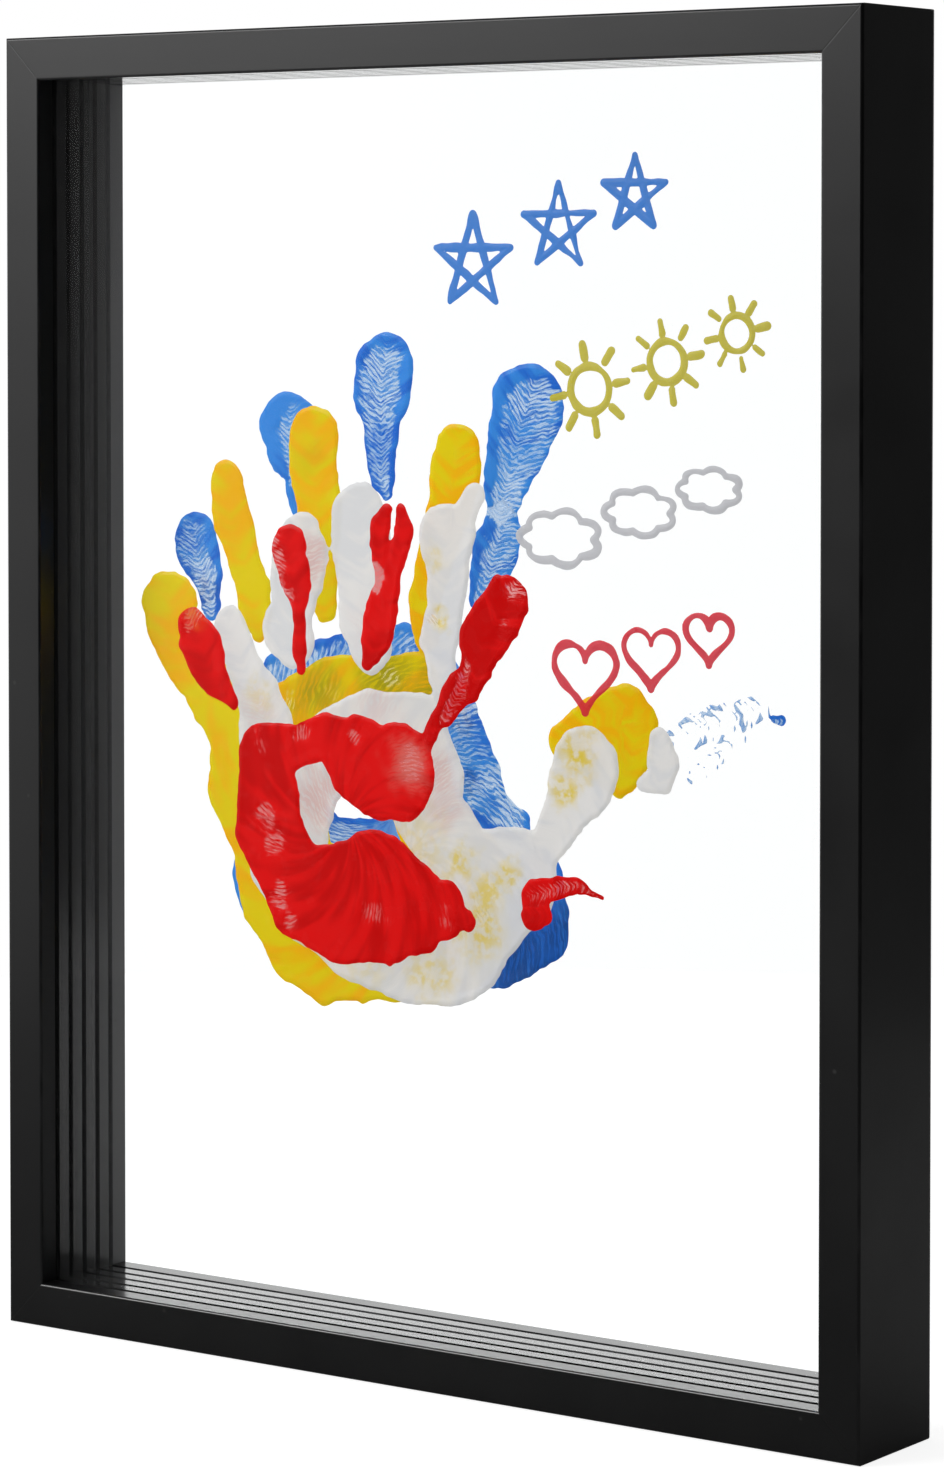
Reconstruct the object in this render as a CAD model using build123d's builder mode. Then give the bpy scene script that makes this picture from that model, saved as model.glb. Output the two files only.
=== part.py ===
"""Deep black frame that holds a stack of clear sheets, each with one painted handprint.

Millimetres. X runs across the frame, Y from the front to the back and Z upwards.
The origin is under the middle of the frame, on the surface that it stands on.
"""

import os

from build123d import *

os.makedirs("parts", exist_ok=True)

# Outline of the frame, seen from the front
frame_width = 300.0
frame_height = 390.0
rail_face = 13.0
wall_thickness = 8.0
mitre_angle = 45.0
front_edge_radius = 0.8
back_edge_radius = 3.0

# Layers, from the front face to the back
lip_depth = 6.5
sheet_thickness = 2.0
spacer_thickness = 4.25
back_thickness = 6.5
print_colours = ("red", "white", "yellow", "blue")

# Sheets in their rebate
sheet_clearance = 0.4

# Wood screws through the back frame
screw_length = 18.0
screw_diameter = 3.0
screw_head_diameter = 5.6
screw_tip_length = 3.0
screw_head_recess = 0.2
screw_clearance = 0.1
screw_inset = 5.0
screw_spacing = 230.0
countersink_angle = 90.0

# V-nails across the mitres
nail_leg = 5.0
nail_thickness = 0.6
rail_nail_length = 10.0
rail_nail_inset = 4.0
back_nail_length = 4.0
back_nail_inset = 6.5

# Handprints in thick paint, front to back: each is made of strokes, and a stroke joins round pads
# Pads: across from the middle of the sheet, up from its middle, radius
paint_thickness = 0.4
hand_strokes = {
    "red": (
        ((-86, 18, 7), (-81, 9, 6), (-73, -3, 2)),
        ((-53, 46, 5), (-50, 36, 6.5), (-47, 10, 2.5)),
        ((-18, 51, 4.5), (-15, 41, 7), (-19, 24, 6), (-23, 10, 2)),
        ((-10, 51, 4), (-15, 41, 6)),
        ((28, 33, 6), (21, 22, 7.5), (15, 7, 5), (0, -7, 2)),
        ((35, -56, 5.5), (44, -50, 5.5), (58, -50, 1.5)),
        ((-61, -17, 9), (-48, -13, 8.5), (-19, -14, 12), (-10, -23, 13)),
        ((-61, -17, 9), (-61, -38, 10.5), (-45, -60, 14), (-28, -62, 17), (-8, -58, 15), (9, -62, 4.5)),
    ),
    "white": (
        ((-80, 20, 6), (-71, 0, 7), (-68, -10, 7.5)),
        ((-49, 48, 7), (-54, 26, 7.5), (-56, 7, 8)),
        ((-31, 56, 9), (-32, 45, 9.5), (-27, 13, 7)),
        ((1, 53, 9), (0, 45, 9), (1, 4, 5.5)),
        ((31, -35, 8), (46, -22, 10.5), (50, -12, 11)),
        ((-48, -19, 15), (-8, -15, 15)),
        ((-46, -40, 22), (14, -42, 22)),
        ((-36, -66, 20), (8, -62, 22)),
    ),
    "yellow": (
        ((-108, 27, 9.5), (-101, 8, 8), (-90, -12, 8)),
        ((-85, 61, 7.5), (-82, 47, 8), (-72, 21, 6)),
        ((-52, 78, 8.5), (-52, 57, 9), (-48, 26, 5)),
        ((0, 73, 8.5), (-1, 64, 9), (-13, 21, 6)),
        ((41, -7, 10.5), (56, -2, 10.5), (62, -10, 9), (54, -23, 4.5)),
        ((-56, 0, 10), (-38, 4, 10.5), (-10, 4, 9)),
        ((-84, -28, 11), (-40, -30, 28), (8, -42, 24)),
        ((-80, -38, 12), (-66, -76, 11), (-40, -78, 15), (-18, -72, 20)),
        ((-58, -52, 20), (-10, -55, 24)),
    ),
    "blue": (
        ((-102, 44, 9), (-99, 36, 8.5), (-94, 22, 3)),
        ((-67, 80, 9.5), (-66, 66, 6), (-64, 55, 3)),
        ((-31, 97, 11), (-32, 86, 10), (-32, 68, 5.5), (-31, 60, 4)),
        ((20, 89, 13), (17, 78, 11), (12, 60, 8), (11, 49, 9), (5, 33, 6)),
        ((60, -9, 8), (71, -13, 10), (79, -14, 6)),
        ((74, -6, 5), (105, 0, 2.5)),
        ((-68, 2, 11), (-28, 14, 9), (0, -10, 10), (18, -35, 6)),
        ((-72, -30, 20), (-20, -30, 26)),
        ((-70, -58, 19), (-40, -64, 22), (0, -70, 19), (18, -74, 12), (27, -68, 9)),
    ),
}

# Sizes that follow from the ones above
sheet_count = len(print_colours) + 1
layer_pitch = sheet_thickness + spacer_thickness
wall_end = lip_depth + sheet_count * sheet_thickness + len(print_colours) * spacer_thickness
frame_depth = wall_end + back_thickness
lip_width = rail_face - wall_thickness
sheet_width = frame_width - 2 * (wall_thickness + sheet_clearance)
sheet_height = frame_height - 2 * (wall_thickness + sheet_clearance)
spacer_width = lip_width - sheet_clearance
screw_head_height = (screw_head_diameter - screw_diameter) / 2

# Each side of the frame: the middle of its outer edge, its direction, its length, and its screws along it
screw_pair = (-screw_spacing / 2, screw_spacing / 2)
sides = {
    "bottom": ((0, 0), (1, 0, 0), frame_width, (0,)),
    "right": ((frame_width / 2, frame_height / 2), (0, 0, 1), frame_height, screw_pair),
    "top": ((0, frame_height), (-1, 0, 0), frame_width, (0,)),
    "left": ((-frame_width / 2, frame_height / 2), (0, 0, -1), frame_height, screw_pair),
}


def plane_at(depth):
    """Plane that faces the front, at a depth behind the front face."""
    return Plane.XZ.offset(frame_depth / 2 - depth)


def side_plane(side, depth):
    """Plane that faces the front, with X along a side's outer edge and Y towards the opening."""
    (across, up), along, _, _ = sides[side]
    return Plane(origin=(across, depth - frame_depth / 2, up), x_dir=along, z_dir=(0, -1, 0))


def save(piece, name):
    """Label a finished piece and write it to its own file."""
    piece.part.label = name
    export_step(piece.part, f"parts/{name}.step")


def v_nails(front, length, inset):
    """One bent steel nail in each mitre, its two legs along the two rails that meet there."""
    with BuildPart() as nails:
        with BuildSketch(plane_at(front)):
            for across in (-1, 1):
                for up in (-1, 1):
                    bend_x = across * (frame_width / 2 - inset)
                    bend_z = frame_height / 2 + up * (frame_height / 2 - inset)
                    reach = (nail_leg - nail_thickness) / 2
                    with Locations((bend_x - across * reach, bend_z)):
                        Rectangle(nail_leg, nail_thickness)
                    with Locations((bend_x, bend_z - up * reach)):
                        Rectangle(nail_thickness, nail_leg)
        extrude(amount=-length)
    return nails


def mitred_outline(side, depth, width):
    """Outline of a strip with mitred ends along one side of the frame."""
    with BuildSketch(side_plane(side, depth)) as outline:
        Trapezoid(sides[side][2], width, mitre_angle, align=(Align.CENTER, Align.MIN))
    return outline.sketch


def screw_places(side):
    """Screw positions along one side, on its plane turned to face the back."""
    return [(along, -screw_inset) for along in sides[side][3]]


def pad_bridge(first, second):
    """Outline round two pads of paint, as a flat band pulled from one to the other."""
    with BuildSketch() as bridge:
        for across, up, radius in (first, second):
            with Locations((across, frame_height / 2 + up)):
                Circle(radius)
        make_hull()
    return bridge.sketch


# V-nails that hold the mitres together
rail_nails = v_nails(wall_end - rail_nail_length, rail_nail_length, rail_nail_inset)
save(rail_nails, "rail_v_nails")
back_nails = v_nails(wall_end, back_nail_length, back_nail_inset)
save(back_nails, "back_v_nails")

# Front rails: a lip over the sheets, and a wall round the stack
pilot_depth = screw_length + screw_head_recess + screw_clearance - back_thickness
for side, (_, along, _, _) in sides.items():
    with BuildPart() as rail:
        extrude(mitred_outline(side, 0, rail_face), amount=-lip_depth)
        extrude(mitred_outline(side, lip_depth, wall_thickness), amount=lip_depth - wall_end)
        lengthwise = rail.edges().filter_by(Axis((0, 0, 0), along))
        fillet(lengthwise.group_by(Axis.Y)[0], front_edge_radius)
        add(rail_nails.part, mode=Mode.SUBTRACT)
        with Locations(-side_plane(side, wall_end)):
            with Locations(*screw_places(side)):
                Hole(screw_diameter / 2 + screw_clearance, pilot_depth)
    save(rail, f"{side}_rail")

# Back frame: strips that close the stack, rounded at the back
for side, (_, along, _, _) in sides.items():
    with BuildPart() as strip:
        extrude(mitred_outline(side, wall_end, rail_face), amount=-back_thickness)
        lengthwise = strip.edges().filter_by(Axis((0, 0, 0), along)).group_by(Axis.Y)[-1]
        outer, inner = lengthwise.sort_by(SortBy.LENGTH, reverse=True)
        fillet(outer, back_edge_radius)
        fillet(inner, front_edge_radius)
        add(back_nails.part, mode=Mode.SUBTRACT)
        with Locations(-side_plane(side, frame_depth)):
            with Locations(*screw_places(side)):
                CounterSinkHole(
                    screw_diameter / 2 + screw_clearance,
                    screw_head_diameter / 2 + screw_head_recess + screw_clearance,
                    counter_sink_angle=countersink_angle,
                )
    save(strip, f"{side}_back_strip")

# Screws: countersunk head, plain shank and a point
with BuildPart() as screw:
    with BuildSketch(Plane.XY):
        with BuildLine():
            Polyline(
                (0, 0),
                (screw_head_diameter / 2, 0),
                (screw_diameter / 2, -screw_head_height),
                (screw_diameter / 2, screw_tip_length - screw_length),
                (0, -screw_length),
                close=True,
            )
        make_face()
    revolve(axis=Axis.Y)

with BuildPart() as back_screws:
    for side in sides:
        with Locations(-side_plane(side, frame_depth - screw_head_recess)):
            with Locations(*screw_places(side)):
                add(screw.part, rotation=(90, 0, 0))
save(back_screws, "back_screws")

# Clear sheets, the cover first and then one for each handprint
for layer, name in enumerate(("cover",) + print_colours):
    with BuildPart() as sheet:
        with BuildSketch(plane_at(lip_depth + layer * layer_pitch)):
            with Locations((0, frame_height / 2)):
                Rectangle(sheet_width, sheet_height)
        extrude(amount=-sheet_thickness)
    save(sheet, f"{name}_sheet")

# Spacers in front of each printed sheet: two across its full width, and two between them
spacer_reach = {
    "top": (0, 1, sheet_width, spacer_width),
    "bottom": (0, -1, sheet_width, spacer_width),
    "left": (-1, 0, spacer_width, sheet_height - 2 * spacer_width),
    "right": (1, 0, spacer_width, sheet_height - 2 * spacer_width),
}
for layer, colour in enumerate(print_colours):
    spacer_front = lip_depth + sheet_thickness + layer * layer_pitch
    for side, (across, up, width, height) in spacer_reach.items():
        middle = (
            across * (sheet_width - spacer_width) / 2,
            frame_height / 2 + up * (sheet_height - spacer_width) / 2,
        )
        with BuildPart() as spacer:
            with BuildSketch(plane_at(spacer_front)):
                with Locations(middle):
                    Rectangle(width, height)
            extrude(amount=-spacer_thickness)
        save(spacer, f"{colour}_{side}_spacer")

# Handprints on the front faces of the printed sheets, in raised paint
for layer, colour in enumerate(print_colours):
    with BuildPart() as handprint:
        with BuildSketch(plane_at(lip_depth + (layer + 1) * layer_pitch)):
            for pads in hand_strokes[colour]:
                for first, second in zip(pads, pads[1:]):
                    add(pad_bridge(first, second))
        extrude(amount=paint_thickness)
    save(handprint, f"{colour}_handprint")
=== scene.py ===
# %% [markdown]
# # Handprints on clear sheets in a deep black frame
#
# The object is a deep wooden frame, sprayed satin black. Five clear plastic sheets stand in it one
# behind the other, with black spacers between them. The front sheet is a plain cover, and each of the
# four behind it carries one handprint in thick paint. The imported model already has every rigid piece
# at its real size, so this lesson gives those pieces their finish and models the paint and the screws.

# %% Load the frame
import math

import bmesh
import bpy
import numpy as np
from mathutils import Matrix, Vector


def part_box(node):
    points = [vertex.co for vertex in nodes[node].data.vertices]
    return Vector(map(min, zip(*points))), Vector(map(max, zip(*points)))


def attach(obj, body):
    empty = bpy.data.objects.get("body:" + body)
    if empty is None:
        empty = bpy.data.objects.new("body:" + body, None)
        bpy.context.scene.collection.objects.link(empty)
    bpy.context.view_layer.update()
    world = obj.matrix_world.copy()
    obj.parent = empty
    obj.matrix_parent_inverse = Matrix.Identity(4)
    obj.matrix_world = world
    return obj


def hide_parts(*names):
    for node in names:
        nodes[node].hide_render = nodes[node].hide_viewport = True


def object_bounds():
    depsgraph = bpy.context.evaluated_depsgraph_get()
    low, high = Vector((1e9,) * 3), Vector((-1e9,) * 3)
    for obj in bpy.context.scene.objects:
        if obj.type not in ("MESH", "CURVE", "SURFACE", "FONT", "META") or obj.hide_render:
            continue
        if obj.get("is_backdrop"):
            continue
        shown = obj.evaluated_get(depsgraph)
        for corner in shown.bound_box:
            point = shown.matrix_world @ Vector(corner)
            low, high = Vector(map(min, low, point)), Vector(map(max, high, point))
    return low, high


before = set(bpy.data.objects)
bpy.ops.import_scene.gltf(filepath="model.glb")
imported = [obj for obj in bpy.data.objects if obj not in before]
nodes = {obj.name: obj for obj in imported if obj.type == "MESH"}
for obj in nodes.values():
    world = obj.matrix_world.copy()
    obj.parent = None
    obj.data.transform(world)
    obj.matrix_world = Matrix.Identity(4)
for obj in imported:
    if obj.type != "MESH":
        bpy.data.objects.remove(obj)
cad_low, cad_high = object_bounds()
mm = 0.001
frame_size = cad_high - cad_low
middle = (cad_low + cad_high) / 2
print("CAD nodes:", len(nodes), "size in mm:", [round(side / mm, 1) for side in frame_size])

# %% [markdown]
# ## Camera
#
# The picture is taken from the right of the frame and from a little above its middle, so the right
# outer side and the left inner side both show. Turning the camera down would make the uprights lean, so
# it stays almost level and the lens is shifted instead, as a product photographer does.

# %% Camera at the photograph's viewing angle
camera_place = Vector((0.7738, -1.0720, 0.3140))
camera_turn = math.radians(35.51)
camera_dip = math.radians(1.885)


def add_object(name, data):
    """A new object in the scene for a mesh, a lamp or a camera."""
    made = bpy.data.objects.new(name, data)
    bpy.context.scene.collection.objects.link(made)
    return made


camera_data = bpy.data.cameras.new("camera")
camera_data.lens = 112.53
camera_data.sensor_width = 36.0
camera_data.shift_y = -0.2
camera = add_object("camera", camera_data)
camera.location = camera_place
camera.rotation_euler = (math.pi / 2 - camera_dip, 0, camera_turn)
bpy.context.scene.camera = camera
bpy.context.scene.view_settings.view_transform = "Standard"
print("camera stands", round((camera_place - middle).length, 2), "m from the frame")

# %% [markdown]
# ## Node helpers
#
# Materials are written as code, so a few helpers keep each one short. Two of them add a node and fill its
# sockets, by name or in order, and the others stand for the small sums that every material needs.

# %% Helpers that add nodes
def plug(tree, socket, value):
    """Give an input a link or a plain value."""
    if isinstance(value, bpy.types.NodeSocket):
        tree.links.new(value, socket)
    else:
        socket.default_value = value


def add_node(tree, kind, settings=None, **sockets):
    """A new node: settings are its properties, and sockets are values or links for its inputs."""
    made = tree.nodes.new(kind)
    for name, value in (settings or {}).items():
        setattr(made, name, value)
    for name, value in sockets.items():
        plug(tree, made.inputs[name.replace("_", " ")], value)
    return made


def join(tree, kind, settings, *values):
    """The outputs of a new node whose inputs are filled in order."""
    made = add_node(tree, kind, settings)
    for socket, value in zip(made.inputs, values):
        plug(tree, socket, value)
    return made.outputs


def maths(tree, operation, *values):
    """The output of a Math node."""
    return join(tree, "ShaderNodeMath", {"operation": operation}, *values)[0]


def dot_product(tree, first, second):
    """How far two directions agree."""
    return join(tree, "ShaderNodeVectorMath", {"operation": "DOT_PRODUCT"}, first, second)["Value"]


def split_axes(tree, vector):
    """The X, Y and Z of a vector."""
    return add_node(tree, "ShaderNodeSeparateXYZ", Vector=vector).outputs


def blend_colours(tree, factor, first, second):
    """The output of a colour Mix node."""
    made = add_node(tree, "ShaderNodeMix", {"data_type": "RGBA"})
    for index, value in ((0, factor), (6, first), (7, second)):
        plug(tree, made.inputs[index], value)
    return made.outputs[2]


def ramp(tree, value, start, end, low=0.0, high=1.0):
    """A smooth step from low to high as the value goes from start to end."""
    made = add_node(
        tree, "ShaderNodeMapRange", {"interpolation_type": "SMOOTHSTEP"},
        Value=value, From_Min=start, From_Max=end, To_Min=low, To_Max=high,
    )
    return made.outputs[0]


def noise(tree, place, scale, detail=2.0):
    """The grey value of a noise texture, around one half."""
    return add_node(tree, "ShaderNodeTexNoise", Vector=place, Scale=scale, Detail=detail).outputs["Fac"]


def streaks(tree, place, scale, detail=2.0):
    """Noise with its own scale along each of the three axes, so that it runs one way."""
    drawn_out = add_node(tree, "ShaderNodeMapping", Vector=place, Scale=scale).outputs[0]
    return noise(tree, drawn_out, 1.0, detail)


print("node helpers ready")

# %% Helpers for groups and materials
def new_group(name, inputs, outputs):
    """An empty node group: its tree, the named sockets it is given and those it puts out."""
    tree = bpy.data.node_groups.new(name, "ShaderNodeTree")
    for in_out, sockets in (("INPUT", inputs), ("OUTPUT", outputs)):
        for socket_name, kind in sockets.items():
            tree.interface.new_socket(name=socket_name, in_out=in_out, socket_type=f"NodeSocket{kind}")
    return tree, tree.nodes.new("NodeGroupInput").outputs, tree.nodes.new("NodeGroupOutput").inputs


def use_group(tree, name, **sockets):
    """Place a node group in a material with its own values, and return its outputs."""
    return add_node(tree, "ShaderNodeGroup", {"node_tree": bpy.data.node_groups[name]}, **sockets).outputs


def new_material(name):
    """An empty node material: the material, its tree and the input for its surface."""
    material = bpy.data.materials.new(name)
    material.use_nodes = True
    tree = material.node_tree
    tree.nodes.clear()
    return material, tree, tree.nodes.new("ShaderNodeOutputMaterial").inputs["Surface"]


def principled(tree, **sockets):
    """The output of a Principled BSDF."""
    return add_node(tree, "ShaderNodeBsdfPrincipled", **sockets).outputs[0]


def bumpy(tree, height, strength, distance):
    """A normal that follows a height, so that fine relief catches the light."""
    return add_node(tree, "ShaderNodeBump", Height=height, Strength=strength, Distance=distance).outputs[0]


def give_finish(material, *names):
    """Put a material on the CAD nodes with these names."""
    for name in names:
        for material_slot in nodes[name].material_slots:
            material_slot.material = material


print("material helpers ready")

# %% [markdown]
# ## Light
#
# The frame stands in front of a white backdrop, in a room that is dim to the sides. A world with one
# even colour would do for matt things, but black lacquer and clear plastic show what they mirror. So the
# world is white where the camera looks and even for soft light. Reflections show the backdrop, a glow
# like a window at the front left, and a dim room for the rest.

# %% White backdrop, dim room and a glow on the left
light_level = 0.50
dim_room = 0.012
glow_level = 1.0
backdrop_spread = (math.radians(56), math.radians(34))
glow_turn = math.pi - math.radians(66)
glow_rise = math.radians(3)
glow_spread = (math.radians(32), math.radians(25))
clear_layers = 64
light_bounces = 16

world = bpy.data.worlds.new("studio")
bpy.context.scene.world = world
world.use_nodes = True
tree = world.node_tree
tree.nodes.clear()
looking = add_node(tree, "ShaderNodeTexCoord").outputs["Generated"]


def direction(turn, rise):
    """A unit vector, turned from straight back to the left and raised from level."""
    return Vector((-math.sin(turn) * math.cos(rise), math.cos(turn) * math.cos(rise), math.sin(rise)))


def zone(turn, rise, spread, brightest):
    """A round patch of the room: dim outside its spread, and brightest in its heart."""
    outside, heart = (math.cos(angle) for angle in spread)
    agreement = dot_product(tree, looking, direction(turn, rise))
    return ramp(tree, agreement, outside, heart, dim_room, brightest)


backdrop = zone(camera_turn, rise=0.0, spread=backdrop_spread, brightest=1.0)
glow = zone(glow_turn, glow_rise, glow_spread, glow_level)
mirrored = maths(tree, "MAXIMUM", backdrop, glow)
path = add_node(tree, "ShaderNodeLightPath").outputs
seen = maths(tree, "MAXIMUM", path["Is Camera Ray"], path["Is Transmission Ray"])
gloss_change = maths(tree, "SUBTRACT", mirrored, light_level)
unseen_level = maths(tree, "MULTIPLY_ADD", path["Is Glossy Ray"], gloss_change, light_level)
strength = maths(tree, "MAXIMUM", seen, unseen_level)
background = add_node(tree, "ShaderNodeBackground", Color=(1, 1, 1, 1), Strength=strength)
out = tree.nodes.new("ShaderNodeOutputWorld")
tree.links.new(background.outputs[0], out.inputs[0])
bpy.context.scene.cycles.transparent_max_bounces = clear_layers
bpy.context.scene.cycles.max_bounces = light_bounces
print("world: soft light", light_level, "dim room", dim_room, "glow", glow_level)

# %% One large soft lamp, above the frame on the left
lamp_turn = math.pi - math.radians(38)
lamp_rise = math.radians(26)
lamp_distance = 1.6
lamp_data = bpy.data.lights.new("soft_lamp", "AREA")
lamp_data.shape = "RECTANGLE"
lamp_data.size = 0.9
lamp_data.size_y = 0.7
lamp_data.energy = 14.5
lamp = add_object("soft_lamp", lamp_data)
lamp_way = direction(lamp_turn, lamp_rise)
lamp.location = middle + lamp_way * lamp_distance
lamp.rotation_euler = (-lamp_way).to_track_quat("-Z", "Y").to_euler()
print("lamp at", [round(value, 2) for value in lamp.location])

# %% [markdown]
# ## Floor
#
# A pale table top carries the frame. It is a plain matt disc whose colour is lifted to white for the
# camera, so the picture has a white ground and the frame still throws a soft shadow on it. In reflections
# the floor is darker at the front and paler towards the backdrop, as the black gloss shows it.

# %% Pale floor that keeps the shadow
floor_radius = 0.8
floor_gap = 0.2 * mm
floor_corners = 96
matt_grey = (0.42, 0.42, 0.42, 1)
lifted_share = 0.80
mirrored_front = 0.22
mirrored_back = 0.40
paler_from = -0.05
paler_to = 0.25

ring = [
    (floor_radius * math.cos(angle), floor_radius * math.sin(angle), -floor_gap)
    for angle in np.linspace(0, 2 * math.pi, floor_corners, endpoint=False)
]
floor_mesh = bpy.data.meshes.new("floor")
floor_mesh.from_pydata(ring, [], [range(floor_corners)])
floor = add_object("floor", floor_mesh)
floor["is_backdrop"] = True

floor_paper, tree, surface = new_material("floor_paper")
path = add_node(tree, "ShaderNodeLightPath").outputs
place = add_node(tree, "ShaderNodeTexCoord").outputs["Object"]
towards_back = split_axes(tree, place)["Y"]
in_mirrors = ramp(tree, towards_back, paler_from, paler_to, mirrored_front, mirrored_back)
paper_colour = blend_colours(tree, path["Is Glossy Ray"], matt_grey, in_mirrors)
matt = add_node(tree, "ShaderNodeBsdfDiffuse", Color=paper_colour).outputs[0]
lifted = maths(tree, "MULTIPLY", path["Is Camera Ray"], lifted_share)
lift = add_node(tree, "ShaderNodeEmission", Color=(1, 1, 1, 1), Strength=lifted).outputs[0]
tree.links.new(join(tree, "ShaderNodeAddShader", None, matt, lift)[0], surface)
floor_mesh.materials.append(floor_paper)
print("floor radius", floor_radius, "m")

# %% [markdown]
# ## Shared effects
#
# Wear, dust, mitre lines and paint films show on more than one piece. Each is a node group with named
# sockets, so every material can place it with its own strength.

# %% Mottle: slow drift of a finish
group, given, result = new_group(
    "mottle", {"Place": "Vector", "Scale": "Float", "Drift": "Float"}, {"Factor": "Float"}
)
slow = noise(group, given["Place"], given["Scale"], detail=3.0)
centred = maths(group, "SUBTRACT", slow, 0.5)
drifted = maths(group, "MULTIPLY_ADD", centred, given["Drift"], 1.0)
group.links.new(drifted, result["Factor"])
print("group:", group.name)

# %% Edge rub: distance to the frame's outer and inner edges
group, given, result = new_group(
    "edge_rub", {"Place": "Vector", "Reach": "Float"}, {"Mask": "Float"}
)
axes = split_axes(group, given["Place"])
lip_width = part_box("left_rail")[1].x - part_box("left_rail")[0].x
inward = []
for axis in range(3):
    from_middle = maths(group, "ABSOLUTE", maths(group, "SUBTRACT", axes[axis], middle[axis]))
    inward.append(maths(group, "SUBTRACT", frame_size[axis] / 2, from_middle))
in_x, in_y, in_z = inward
low_pair = maths(group, "MINIMUM", in_x, in_z)
high_pair = maths(group, "MAXIMUM", in_x, in_z)
outer = maths(group, "MAXIMUM", low_pair, maths(group, "MINIMUM", high_pair, in_y))
to_opening = maths(group, "SUBTRACT", lip_width, low_pair)
inner = maths(group, "MAXIMUM", maths(group, "ABSOLUTE", to_opening), in_y)
nearest = maths(group, "MINIMUM", outer, inner)
worn = ramp(group, maths(group, "DIVIDE", nearest, given["Reach"]), start=1.0, end=0.0)
patchy = ramp(group, noise(group, given["Place"], scale=70.0, detail=4.0), start=0.42, end=0.66)
group.links.new(maths(group, "MULTIPLY", worn, patchy), result["Mask"])
print("group:", group.name)

# %% Mitre line: the hairline where two rails meet at a corner
group, given, result = new_group(
    "mitre_line", {"Place": "Vector", "Width": "Float"}, {"Mask": "Float"}
)
axes = split_axes(group, given["Place"])
from_side = maths(group, "SUBTRACT", frame_size.x / 2, maths(group, "ABSOLUTE", axes["X"]))
from_end = maths(group, "ABSOLUTE", maths(group, "SUBTRACT", axes["Z"], middle.z))
from_end = maths(group, "SUBTRACT", frame_size.z / 2, from_end)
apart = maths(group, "ABSOLUTE", maths(group, "SUBTRACT", from_side, from_end))
line = ramp(group, maths(group, "DIVIDE", apart, given["Width"]), start=1.0, end=0.2)
group.links.new(line, result["Mask"])
print("group:", group.name)

# %% Dust: small pale specks, thinly scattered
group, given, result = new_group(
    "dust", {"Place": "Vector", "Scale": "Float", "Amount": "Float"}, {"Mask": "Float"}
)
specks = add_node(group, "ShaderNodeTexVoronoi", Vector=given["Place"], Scale=given["Scale"])
dots = ramp(group, specks.outputs["Distance"], start=0.16, end=0.04)
chosen = add_node(group, "ShaderNodeSeparateColor", Color=specks.outputs["Color"]).outputs[0]
few = maths(group, "GREATER_THAN", given["Amount"], chosen)
group.links.new(maths(group, "MULTIPLY", dots, few), result["Mask"])
print("group:", group.name)

# %% [markdown]
# ## Black lacquer
#
# The rails and the back strips are wood under several sprayed coats of satin black. Such a coat hides
# the colour of the wood, but the grain still shows as faint lines along each rail, the spray leaves a
# fine orange peel, and the corners are rubbed a little greyer. The grain runs along the rail, so the
# uprights and the level rails get their own stretch of the same texture. Inside the opening the level
# pieces and the back strips are glossier, and the upright back strips are grey on their faces there.

# %% Colours and textures of the lacquer
# Scales are waves of noise per metre, and heights are shares of the bump.
black = (0.0020, 0.0020, 0.0022, 1)
rubbed_black = (0.020, 0.020, 0.021, 1)
# Grey for the faces of the upright back strips that look into the opening.
opening_grey = (0.12, 0.12, 0.122, 1)
dusty_black = (0.055, 0.054, 0.052, 1)
mitre_black = (0.001, 0.001, 0.001, 1)
rub_share = 0.55
dust_share = 0.35
mitre_share = 0.8
lacquer_roughness = 0.37
dust_roughness = 0.2
grain_scale = 900.0
grain_stretch = 26.0
grain_height = 0.6
peel_scale = 1100.0
peel_height = 0.4
mitre_depth = 3.0
outer_coat = 0.2
print("lacquer grain runs", grain_stretch, "times as long as it is wide")

# %% Lacquer for the level pieces, the upright rails and the upright back strips
def towards_opening(tree, coordinates):
    """1 on the faces that look at the middle of the opening, and 0 on the others."""
    subtract = {"operation": "SUBTRACT"}
    outward = join(tree, "ShaderNodeVectorMath", subtract, coordinates["Object"], middle)["Vector"]
    return maths(tree, "LESS_THAN", dot_product(tree, outward, coordinates["Normal"]), 0.0)


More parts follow.
